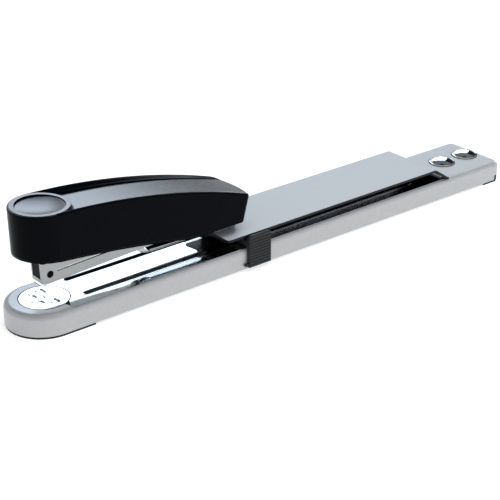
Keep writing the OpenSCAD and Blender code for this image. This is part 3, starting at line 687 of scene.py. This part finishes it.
def bedHeight(x, y):
    # level plate less the troughs: distance to each trough's centre line, through a smooth step;
    # a shallow wave runs across behind the anvil
    b = bed
    past = np.clip(np.maximum(b["run"][0] - x, x - b["run"][1]), 0, None)
    away = np.hypot(past, np.abs(y) - b["offset"])
    pressed = b["depth"] * (1 - smooth((away - b["flat"]) / (b["shoulder"] - b["flat"])))
    edge = np.clip(b["edge"] - np.minimum(bedHigh[1] - np.abs(y), x - b["front"] + 0.02), 0, b["edge"])
    ripple = b["sag"] * (np.cos(y * np.pi / b["wave"]) - 1) * smooth((x - b["ends"][1]) / 30)
    return bedHigh[2] - pressed - (b["edge"] - np.sqrt(b["edge"] ** 2 - edge ** 2)) + ripple


def makeBed():
    b = bed
    middle, flat, shoulder = b["offset"], b["flat"], b["shoulder"]
    ys = steps(0.0, (middle - shoulder, 12), (middle - flat, 9), (middle + flat, 4), (middle + shoulder, 9),
               (bedHigh[1] - b["edge"], 12), (bedHigh[1], 4))
    ys = np.concatenate([-ys[:0:-1], ys])
    start = np.where(np.abs(ys) < math.sqrt(b["clear"] ** 2 - (b["front"] - base["holeX"]) ** 2),
                     base["holeX"] + np.sqrt(np.maximum(b["clear"] ** 2 - ys ** 2, 0)), b["front"])
    share = np.concatenate([[0, 0.01, 0.02], np.linspace(0.04, 1, 12)])[:, None]
    nearFrom, nearTo, farFrom, farTo = b["ends"]
    near = start[None] + share * (nearFrom - start[None])
    runs = steps(nearFrom, (nearTo, 19), (farFrom, 85), (farTo, 14), (bedHigh[0], 6))[1:]
    x = np.concatenate([near, np.repeat(runs[:, None], len(ys), 1)])
    y = np.repeat(ys[None], len(x), 0)
    addPiece("bedPlate", [(np.stack([x, y, bedHeight(x, y)], -1), False, False)], polishedNickel, "base",
             ("bed_plate",), "polished_steel", 60.0, thickness=b["sheet"])


scale = {"side": -18.2, "first": 60.0, "pitch": 30.0, "count": 3, "tick": (0.35, 3.4), "lift": 0.012,
         "digit": 3.2, "zero": 20.0}


def inkQuads(boxes, height):
    # flat marks: one face for each (x0, x1, y0, y1)
    boxes = np.asarray(boxes, float)
    corners = boxes[:, [0, 2, 1, 2, 1, 3, 0, 3]].reshape(-1, 4, 2)
    return np.concatenate([corners, np.full((len(corners), 4, 1), height)], -1)


def addInk(name, points, faces, body):
    mesh = bpy.data.meshes.new(name)
    mesh.from_pydata(((np.array(points) + (noseTip, 0, 0)) / 1000).tolist(), [], faces)
    made = bpy.data.objects.new(name, mesh)
    show(made)
    finish(made, markInk, body, (), "black_steel")


def makeScale():
    # generic depth marks: a tick and the number of centimetres from the staple
    s = scale
    high = bedHigh[2] + s["lift"]
    places = s["first"] + s["pitch"] * np.arange(s["count"])
    half, length = s["tick"][0] / 2, s["tick"][1] / 2
    boxes = [(x - half, x + half, s["side"] - length, s["side"] + length) for x in places]
    points = inkQuads(boxes, high).reshape(-1, 3)
    faces = np.arange(len(points)).reshape(-1, 4).tolist()
    points = points.tolist()
    for x in places:
        letters = bpy.data.curves.new("digits", "FONT")
        letters.body = str(int(round((x - s["zero"]) / 10)))
        letters.size = s["digit"]
        made = bpy.data.objects.new("digits", letters)
        flat = bpy.data.meshes.new_from_object(made)
        start = len(points)
        shift = s["side"] - s["digit"] * 0.35
        points += [(x + 1.0 + v.co.x, shift + v.co.y, high) for v in flat.vertices]
        faces += [[start + i for i in face.vertices] for face in flat.polygons]
        bpy.data.objects.remove(made)
        bpy.data.meshes.remove(flat)
    addInk("depthScale", points, faces, "base")


index = {"corners": ((28.6, -14.95), (30.8, -17.2), (33.2, -12.2)), "deep": 0.5, "proud": 0.05}


def makeIndex():
    # dark triangle at the anvil's rim where the index notch lies: a painted shadow that stands for the shade
    # inside the notch, which is not cut
    notchShadow = prism(np.array(index["corners"]), bedHigh[2] - index["deep"], bedHigh[2] + index["proud"])
    addPiece("indexNotchShadow", [(notchShadow, False, True)], footRubber, "base", (), "black_steel", 40.0,
             caps=((0, 0), (0, 1)))


makeBed()
makeIndex()
makeScale()
print("bed plate made")


# arm plate: flat sheet with a ramp down to the tail
arm = {"rampX": 321.5, "run": 13.5, "bend": 3.0, "corner": 2.0, "tailCorner": 2.2, "edge": 0.4, "narrow": 1.3,
       "step": 6.0, "columns": 25}


def makeArm():
    # the bent line of the sheet's top seen from the side, carried across to the outline's half width
    a = arm
    tailTop = base["tailSeat"] + armSheet
    ramp = a["rampX"] + a["run"]
    corners = [(armLow[0], armHigh[2]), (a["rampX"], armHigh[2]), (ramp, tailTop), (armHigh[0], tailTop),
               (armLow[0], tailTop - 30)]
    line = roundedLoop(corners, [0, a["bend"], a["bend"], 0, 0], 10)[:-1]
    gap = np.linalg.norm(np.diff(line, axis=0), axis=1)
    length = np.concatenate([[0], np.cumsum(gap)])
    ease = 1 - np.cos(np.linspace(0, np.pi / 2, 9))
    between = np.arange(a["step"], length[-1] - 3, a["step"])
    wanted = np.unique(np.concatenate([length, a["corner"] * ease, between,
                                       length[-1] - a["tailCorner"] * ease]))
    x, z = np.interp(wanted, length, line[:, 0]), np.interp(wanted, length, line[:, 1])
    half = np.where(x < ramp + 0.3, armHigh[1], armHigh[1] - a["narrow"])
    toFront = np.clip(a["corner"] - (x - armLow[0]), 0, a["corner"])
    toTail = np.clip(a["tailCorner"] - (armHigh[0] - x), 0, a["tailCorner"])
    half = half - (a["corner"] - np.sqrt(np.maximum(a["corner"] ** 2 - toFront ** 2, 0)))
    half = half - (a["tailCorner"] - np.sqrt(np.maximum(a["tailCorner"] ** 2 - toTail ** 2, 0)))
    across = np.linspace(-1, 1, a["columns"])
    grid = np.stack([np.repeat(x[:, None], a["columns"], 1), half[:, None] * across[None],
                     np.repeat(z[:, None], a["columns"], 1)], -1)
    made = addPiece("armPlate", [(grid, False, False)], armLacquer, "base", ("arm_plate",), "arm_paint",
                    30.0, thickness=armSheet)
    # the edges and the underside take the next material: the dark metal that paints their shade in front of
    # the ramp (painted shade), and lacquer again behind the ramp
    for material in (armShadeSteel, armLacquer, armLacquer):
        made.data.materials.append(material)
    behind = faceValues(made, "center")[:, 0] * 1000 - noseTip > ramp + 1
    made.data.polygons.foreach_set("material_index", np.where(behind, 2, 0).astype(np.int32))
    made.modifiers["wall"].material_offset = 1
    made.modifiers["wall"].material_offset_rim = 1
    soft = made.modifiers.new("soft edges", "BEVEL")
    soft.width = a["edge"] / 1000
    soft.segments = 3
    soft.limit_method = "ANGLE"
    soft.angle_limit = math.radians(50)


rivets = {"radius": 8.8, "rise": 3.4, "fall": 2.5, "power": 3.0, "lip": 0.9, "places": (351.5, 374.2),
          "shank": 4.0, "tail": (7.0, 1.2), "through": 3.5, "ring": 0.5, "ringHigh": 0.3, "bevel": 0.15}


def makeRivets():
    # a low dome, whose fall grows with the third power of the radius and which turns under at its rim,
    # on a shank that ends in a flat head below the base
    r = rivets
    seat = base["tailSeat"] + armSheet
    lip = r["lip"] * 0.55
    run = np.linspace(0.02, r["radius"] - lip, 28)
    dome = np.stack([run, seat + r["rise"] - r["fall"] * (run / run[-1]) ** r["power"]], -1)
    turn = np.linspace(0.9, 0, 7)
    bevel = r["bevel"]
    height = (dome[-1, 1] - seat - bevel) * np.sin(turn) / np.sin(turn[0])
    rim = np.stack([r["radius"] - lip + lip * np.cos(turn), seat + bevel + height], -1)[1:]
    low = base["tailSeat"] - r["through"]
    tail, tailHigh = r["tail"]
    under = [(r["radius"] - bevel, seat), (r["shank"], seat), (r["shank"], low), (tail, low),
             (tail, low - tailHigh), (0.02, low - tailHigh)]
    profile = np.concatenate([dome, rim, under])
    shapes = [(revolve(profile, 96) + (x, 0, 0), False, True) for x in r["places"]]
    addPiece("tailRivets", shapes, brightChrome, "base", ("tail_rivets",), "chrome_trim", 50.0)
    # dark ring under the rim of each dome: a painted shadow where the dome meets the plate
    inner, outer, top = r["radius"] - 0.4, r["radius"] + r["ring"], seat + r["ringHigh"]
    ring = np.array([(inner, seat), (outer, seat), (outer, top - bevel), (outer - bevel, top), (inner, top)])
    rings = [(revolve(ring, 96) + (x, 0, 0), True, True) for x in r["places"]]
    addPiece("rivetShadowRings", rings, footRubber, "base", (), "foot_rubber", 40.0)


makeArm()
makeRivets()
print("arm made")


# anvil disc; a groove is (distance behind the middle, distance from the centre line, half length)
disc = {"radius": 15.05, "edge": 0.4, "width": 1.15, "deep": 0.55, "sheet": 1.4,
        "grooves": ((-3.8, 4.3, 2.4), (3.8, 7.6, 3.2)), "dimple": 1.0, "dimpleDeep": 0.12}


def makeDisc():
    # polar sheet; each groove lowers it by how near a point is to the groove's middle line
    d = disc
    top = baseHigh[2]
    level = d["radius"] - d["edge"]
    turnOver = np.sin(np.linspace(0, np.pi / 2, 7))[1:]
    radii = np.concatenate([np.linspace(0.02, level, 110), level + d["edge"] * turnOver])
    turn = np.linspace(0, 2 * np.pi, 288, endpoint=False)
    r, a = np.meshgrid(radii, turn, indexing="ij")
    x, y = r * np.cos(a), r * np.sin(a)
    z = np.full_like(r, top)
    for gx, gy, length in d["grooves"]:
        away = np.hypot(x - gx, np.clip(np.abs(np.abs(y) - gy) - length + d["width"], 0, None))
        z -= d["deep"] * (1 - smooth(away / d["width"]))
    z -= d["dimpleDeep"] * (1 - smooth(np.hypot(x, y) / d["dimple"]))
    fall = np.clip(r - level, 0, d["edge"])
    z -= d["edge"] - np.sqrt(d["edge"] ** 2 - fall ** 2)
    low = top - d["sheet"]
    rim = np.stack([np.stack([radius * np.cos(turn), radius * np.sin(turn), np.full(len(turn), low)], -1)
                    for radius in (d["radius"], d["radius"] * 0.5, 0.02)])
    plate = np.concatenate([np.stack([x, y, z], -1), rim]) + (base["holeX"], 0, 0)
    addPiece("anvilDisc", [(plate, False, True)], polishedNickel, "anvil", ("anvil_disc",), "polished_steel",
             50.0)


# each sign is (distance behind the middle, distance to the side, width)
marks = {"lift": 0.012, "line": 0.8, "leg": 1.2,
         "places": ((-5.3, 8.0, 2.6), (0.2, 9.3, 2.8), (0.5, 0.9, 3.0), (-4.9, -1.9, 2.0), (0.1, -8.4, 2.8),
                    (4.9, -8.3, 2.4), (-8.8, -1.2, 2.0))}


def makeMarks():
    # generic signs on the disc: small staples seen from the front, drawn as three thin bars
    m = marks
    line, leg = m["line"] / 2, m["leg"]
    bars = []
    for x, y, size in m["places"]:
        near, far = y - size / 2, y + size / 2
        bars += [(x - line, x + line, near, far), (x, x + leg, near, near + line),
                 (x, x + leg, far - line, far)]
    boxes = np.array(bars) + (base["holeX"], base["holeX"], 0, 0)
    points = inkQuads(boxes, baseHigh[2] + m["lift"]).reshape(-1, 3)
    addInk("discMarks", points, np.arange(len(points)).reshape(-1, 4).tolist(), "anvil")


makeDisc()
makeMarks()
print("anvil made")


# paper stop: saddle with ribbed grips; the nub is (length, width, height, lower edge)
stop = {"inner": 23.25, "pitch": 1.9, "deep": 0.5, "topRound": 0.9, "cornerRound": 1.5, "endRound": 0.5,
        "bar": (15.4, 20.0), "barRound": 0.5, "plain": (0.9, 1.5), "foot": (0.3, 0.4),
        "nub": (2.4, 1.5, 1.8, 3.6)}


def makeStop():
    # grip section: straight inner wall, rounded top, outer wall that swells between fine grooves;
    # it is carried along with rounded ends
    s = stop
    low, high = nodeBox("stop_saddle")
    front, rear = low[0] + s["nub"][0], high[0]
    inner, outer, bottom, top = s["inner"], high[1], low[2], high[2]
    z = np.linspace(bottom, top - s["topRound"], 157)
    phase = ((z - bottom) / s["pitch"]) % 1.0
    fromGroove = np.minimum(phase, 1 - phase) * s["pitch"]
    ribbed = (z > bottom + s["plain"][0]) & (z < top - s["plain"][1])
    ribs = outer - s["deep"] * (1 - smooth(fromGroove / 0.5)) * ribbed
    ribs -= s["foot"][0] * (1 - smooth((z - bottom) / s["foot"][1]))
    over = np.linspace(0, np.pi / 2, 7)[1:]
    head = np.stack([outer - s["topRound"] * (1 - np.cos(over)),
                     top - s["topRound"] * (1 - np.sin(over))], -1)
    inside = np.stack([np.full(12, inner), np.linspace(top, bottom, 12)], -1)
    section = np.concatenate([np.stack([ribs, z], -1), head, inside])
    ends = s["endRound"] * (1 - np.cos(np.linspace(0, np.pi / 2, 5)))
    corner = s["cornerRound"]
    runs = np.concatenate([front + ends, np.linspace(front + corner, rear - corner, 11), rear - ends[::-1]])
    shrink = s["endRound"] * (1 - np.sin(np.linspace(0, np.pi / 2, 5)))
    inset = np.concatenate([shrink, np.zeros(11), shrink[::-1]])[:, None]
    reach = np.clip(corner - np.minimum(runs - front, rear - runs), 0, corner)[:, None]
    limit = top - (corner - np.sqrt(corner ** 2 - reach ** 2))
    y = np.minimum(section[None, :, 0], outer - inset)
    grip = np.stack([np.repeat(runs[:, None], len(section), 1), y,
                     np.minimum(section[None, :, 1], limit)], -1)
    patches = [(grip, False, True), (grip[:, ::-1] * (1, -1, 1), False, True)]
    caps = [(0, 0), (0, -1), (1, 0), (1, -1)]
    barFrom, barTo = front + 0.3, rear - 0.3
    barLow, barTop = s["bar"]
    outline = roundedLoop([(barFrom, barLow), (barTo, barLow), (barTo, barTop), (barFrom, barTop)],
                          [s["barRound"]] * 4, 5)
    bar = prism(outline, -inner - 0.02, inner + 0.02)[:, :, [0, 2, 1]]
    patches.append((bar, False, True))
    caps += [(2, 0), (2, 1)]
    nubLow, nubTop, nubEnd = s["nub"][3], s["nub"][3] + s["nub"][2], front + 0.4
    for side in (-1, 1):
        nub = roundedLoop([(low[0], nubLow), (nubEnd, nubLow), (nubEnd, nubTop), (low[0], nubTop)],
                          [0.5, 0, 0, 0.5], 5)
        edges = sorted((side * (inner + 0.1), side * (inner + 0.1 + s["nub"][1])))
        patches.append((prism(nub, *edges)[:, :, [0, 2, 1]], False, True))
        caps += [(len(patches) - 1, 0), (len(patches) - 1, 1)]
    addPiece("stopSaddle", patches, stopNylon, "paper_stop", ("stop_saddle",), "stop_plastic", 30.0,
             caps=caps)


makeStop()
print("paper stop made")


# the magazine's front lower corner, its slope in degrees, and the hinge in its own length and height
magazine = {"start": (20.0, 26.7), "tilt": 2.55, "pivot": (132.0, 4.5)}


def inMagazine(points):
    # from the magazine's own length, side and height to the shared frame
    m = magazine
    c, s = math.cos(math.radians(m["tilt"])), math.sin(math.radians(m["tilt"]))
    u, y, w = points[..., 0], points[..., 1], points[..., 2]
    return np.stack([m["start"][0] + u * c - w * s, y, m["start"][1] + u * s + w * c], -1)


# the leaf's bends: X, height above the arm plate, radius; pressed flat about a line that falls forwards
leaf = {"half": 5.0, "sheet": 0.45, "tipRound": 2.2, "across": 13, "pressFrom": 136.0, "keep": 0.05,
        "pressAxis": (-0.022, 0, 0.99976),
        "bends": ((156.5, 0.5, 0), (135.0, 0.5, 20), (96.0, 0.15, 9), (89.2, 1.6, 6), (85.4, 4.7, 0.35),
                  (84.3, 4.0, 0))}


def makeLeaf():
    # the bent line of the leaf's top, rounded at every bend, carried across; the tip's corners are
    # rounded in plan
    f = leaf
    rise, tip = armHigh[2], f["tipRound"]
    corners = [(x, rise + high) for x, high, radius in f["bends"]] + [(150.0, rise - 30)]
    line = roundedLoop(corners, [radius for x, high, radius in f["bends"]] + [0], 9)[:-1]
    length = np.concatenate([[0], np.cumsum(np.linalg.norm(np.diff(line, axis=0), axis=1))])
    ease = 1 - np.cos(np.linspace(0, np.pi / 2, 7))
    wanted = np.unique(np.concatenate([np.linspace(0, length[-1], 90), length, length[-1] - tip * ease]))
    x, z = np.interp(wanted, length, line[:, 0]), np.interp(wanted, length, line[:, 1])
    over = np.clip(tip - (length[-1] - wanted), 0, tip)
    half = f["half"] - (tip - np.sqrt(tip ** 2 - over ** 2)) * 0.8
    grid = np.stack([np.repeat(x[:, None], f["across"], 1), half[:, None] * np.linspace(-1, 1, f["across"]),
                     np.repeat(z[:, None], f["across"], 1)], -1)
    made = addPiece("liftSpring", [(grid[::-1], False, False)], brightChrome, "base", ("lift_spring",),
                    "chrome_trim", 40.0, thickness=f["sheet"])
    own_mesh(made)


coils = {"pusher": {"from": 67.1, "to": 107.4, "turns": 14, "radius": 1.65, "wire": 0.28, "high": 11.0,
                    "keep": 0.055},
         "hinge": {"turns": 7, "radius": 3.0, "wire": 0.4, "half": 3.4, "legs": (16.0, 20.0), "press": 5.4,
                   "rise": 19.5}}


def makeCoils():
    # a wire carried along a helix, with closed ends; the hinge's spring has a straight leg at each end
    p = coils["pusher"]
    t = np.linspace(0, 1, p["turns"] * 28 + 1)
    angle = 2 * np.pi * p["turns"] * t
    path = np.stack([p["from"] + t * (p["to"] - p["from"]), p["radius"] * np.cos(angle),
                     p["high"] + p["radius"] * np.sin(angle)], -1)
    wire = inMagazine(tube(path, p["wire"], 10))
    made = addPiece("pusherSpring", [(wire, False, True)], zincPlate, "magazine", ("pusher_spring",),
                    "plain_steel", 60.0, caps=((0, 0), (0, -1)))
    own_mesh(made)
    h = coils["hinge"]
    t = np.linspace(0, 1, h["turns"] * 32 + 1)
    lift = math.radians(h["rise"])
    press = math.radians(h["press"])
    first, last = -np.pi / 2 - press, -np.pi / 2 + 2 * np.pi * h["turns"] + np.pi - lift
    angle = first + (last - first) * t
    ring = np.stack([h["radius"] * np.cos(angle), h["half"] * (1 - 2 * t),
                     h["radius"] * np.sin(angle)], -1)
    way = np.linspace(1, 0, 12)[:-1, None]
    leg1 = ring[0] + way * h["legs"][0] * np.array([-math.cos(press), 0, math.sin(press)])
    leg2 = ring[-1] + way[::-1] * h["legs"][1] * np.array([-math.cos(lift), 0, math.sin(lift)])
    path = np.concatenate([leg1, ring, leg2]) + (magazine["pivot"][0], 0, magazine["pivot"][1])
    wire = inMagazine(tube(path, h["wire"], 12))
    addPiece("coverSpring", [(wire, False, True)], zincPlate, "cover", ("cover_spring",), "plain_steel",
             60.0, caps=((0, 0), (0, -1)))


staples = {"from": 4.3, "to": 56.3, "pitch": 0.52, "half": 6.45, "wire": 0.6, "low": 2.2, "top": 8.8,
           "joint": 0.07, "outerRound": 0.5, "innerRound": 0.1}


def makeStaples():
    # U section whose outside dips at each joint between two glued wires
    s = staples
    count = int((s["to"] - s["from"]) / s["pitch"])
    along = np.array([0.02, 0.2, 0.5, 0.8, 0.98])
    u = (s["from"] + s["pitch"] * (np.arange(count)[:, None] + along)).ravel()
    dip = np.tile([1.0, 0.25, 0.0, 0.25, 1.0], count)[:, None] * s["joint"]
    half, low, top, wire = s["half"], s["low"], s["top"], s["wire"]
    innerHalf, innerTop, outerRound, innerRound = half - wire, top - wire, s["outerRound"], s["innerRound"]
    outline = roundedLoop([(-half, low), (-half, top), (half, top), (half, low), (innerHalf, low),
                           (innerHalf, innerTop), (-innerHalf, innerTop), (-innerHalf, low)],
                          [0, outerRound, outerRound, 0, 0, innerRound, innerRound, 0], 4)
    sideways = np.sign(outline[:, 0]) * (np.abs(outline[:, 0]) > half - 0.2)
    upwards = (outline[:, 1] > top - 0.2) * 1.0
    y = outline[None, :, 0] - dip * sideways[None]
    w = outline[None, :, 1] - dip * upwards[None]
    grid = inMagazine(np.stack([np.repeat(u[:, None], len(outline), 1), y, w], -1))
    addPiece("stapleStrip", [(grid, False, True)], brightChrome, "magazine", ("staple_strip",), "plain_steel",
             60.0, caps=((0, 0), (0, -1)))


makeLeaf()
makeCoils()
makeStaples()
print("springs and staples made")


# nodes that keep their CAD shape: material, width of the softened edges in millimetres, slot
plainParts = {
    "front_foot": (footRubber, 0.2, "foot_rubber"), "rear_foot": (footRubber, 0.2, "foot_rubber"),
    "anvil_seat": (zincPlate, 0.1, "plain_steel"), "tail_stiffener": (zincPlate, 0.2, "plain_steel"),
    "hinge_bracket": (zincPlate, 0.15, "plain_steel"), "bracket_rivets": (zincPlate, 0.2, "plain_steel"),
    "hinge_pin": (polishedNickel, 0.3, "polished_steel"), "pin_clips": (blackedSteel, 0.1, "black_steel"),
    "anvil_stem": (zincPlate, 0.2, "plain_steel"), "anvil_spring": (zincPlate, 0.2, "plain_steel"),
    "anvil_clip": (blackedSteel, 0.1, "black_steel"), "stop_spring": (zincPlate, 0.05, "plain_steel"),
    "magazine_channel": (satinNickel, 0.15, "magazine_steel"), "nose_guide": (shadedGlossAbs, 0.1, "stop_plastic"),
    "staple_rail": (zincPlate, 0.1, "plain_steel"), "guide_rod": (polishedNickel, 0.1, "polished_steel"),
    "rod_seat": (zincPlate, 0.2, "plain_steel"), "pusher": (zincPlate, 0.2, "plain_steel"),
    "cover_frame": (zincPlate, 0.2, "plain_steel"), "frame_screws": (zincPlate, 0.2, "plain_steel"),
    "driver_blade": (polishedNickel, 0.05, "polished_steel"),
    "blade_rivets": (zincPlate, 0.15, "plain_steel"),
}
for part, (material, bevel, slotName) in plainParts.items():
    dressNode(part, material, bevel, slotName)
print("other parts finished")
